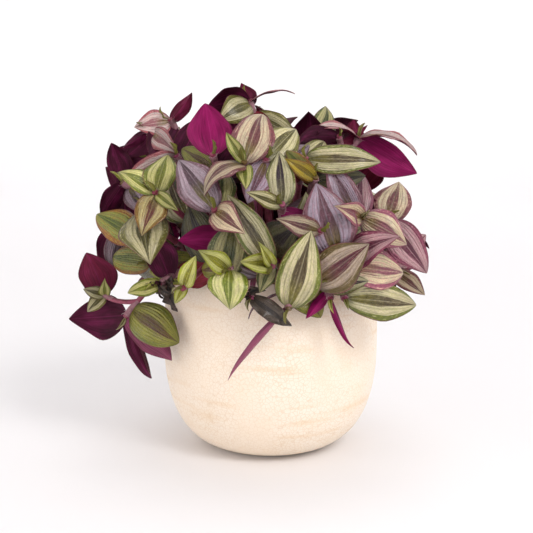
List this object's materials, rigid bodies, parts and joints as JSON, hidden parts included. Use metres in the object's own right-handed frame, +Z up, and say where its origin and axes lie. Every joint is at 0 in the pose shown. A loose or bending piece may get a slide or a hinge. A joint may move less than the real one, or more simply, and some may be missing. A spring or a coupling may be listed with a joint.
{
  "type": "potted tradescantia",
  "caption": "Bushy striped trailing house plant, with green, silver and purple leaves, standing in soil in a round cream crackle-glazed pot.",
  "frame": {"origin": "centre of the flat foot under the pot", "axes": "+Z up out of the pot; -Y towards the plant's fullest side, with the trailing shoot on the -X side"},
  "size_m": [0.2452, 0.2172, 0.2509],
  "materials": {
    "glaze": "satin cream glaze with a fine crackle net",
    "soil": "dark loose potting soil",
    "foliage": "fleshy striped leaves, green, silver and purple above and wine red below"
  },
  "bodies": {
    "root": {"pot": "glaze", "soil": "soil", "upper_left_rosette": "foliage", "left_face": "foliage", "left_edge_low": "foliage", "left_edge": "foliage", "left_shoulder": "foliage", "low_left_dark": "foliage", "trailing_left": "foliage", "lime_bud": "foliage", "centre_left": "foliage", "centre_shade": "foliage", "crown_rosette": "foliage", "purple_back": "foliage", "top": "foliage", "upper_left_tuft": "foliage", "upper_left_shade": "foliage", "upper_middle": "foliage", "centre_right": "foliage", "yellowing": "foliage", "centre_long": "foliage", "big_right": "foliage", "low_centre_right": "foliage", "dried": "foliage", "hanging_right": "foliage", "right_rosette": "foliage", "right_round": "foliage", "right_low": "foliage", "right_under": "foliage", "right_edge_low": "foliage", "right_long": "foliage", "top_right": "foliage", "back_01": "foliage", "back_02": "foliage", "back_03": "foliage", "back_04": "foliage", "back_05": "foliage", "back_06": "foliage", "back_07": "foliage", "back_08": "foliage", "back_09": "foliage", "back_10": "foliage", "back_11": "foliage", "back_12": "foliage", "back_13": "foliage", "back_14": "foliage", "back_15": "foliage", "back_16": "foliage", "back_17": "foliage", "back_18": "foliage"}
  },
  "joints": []
}
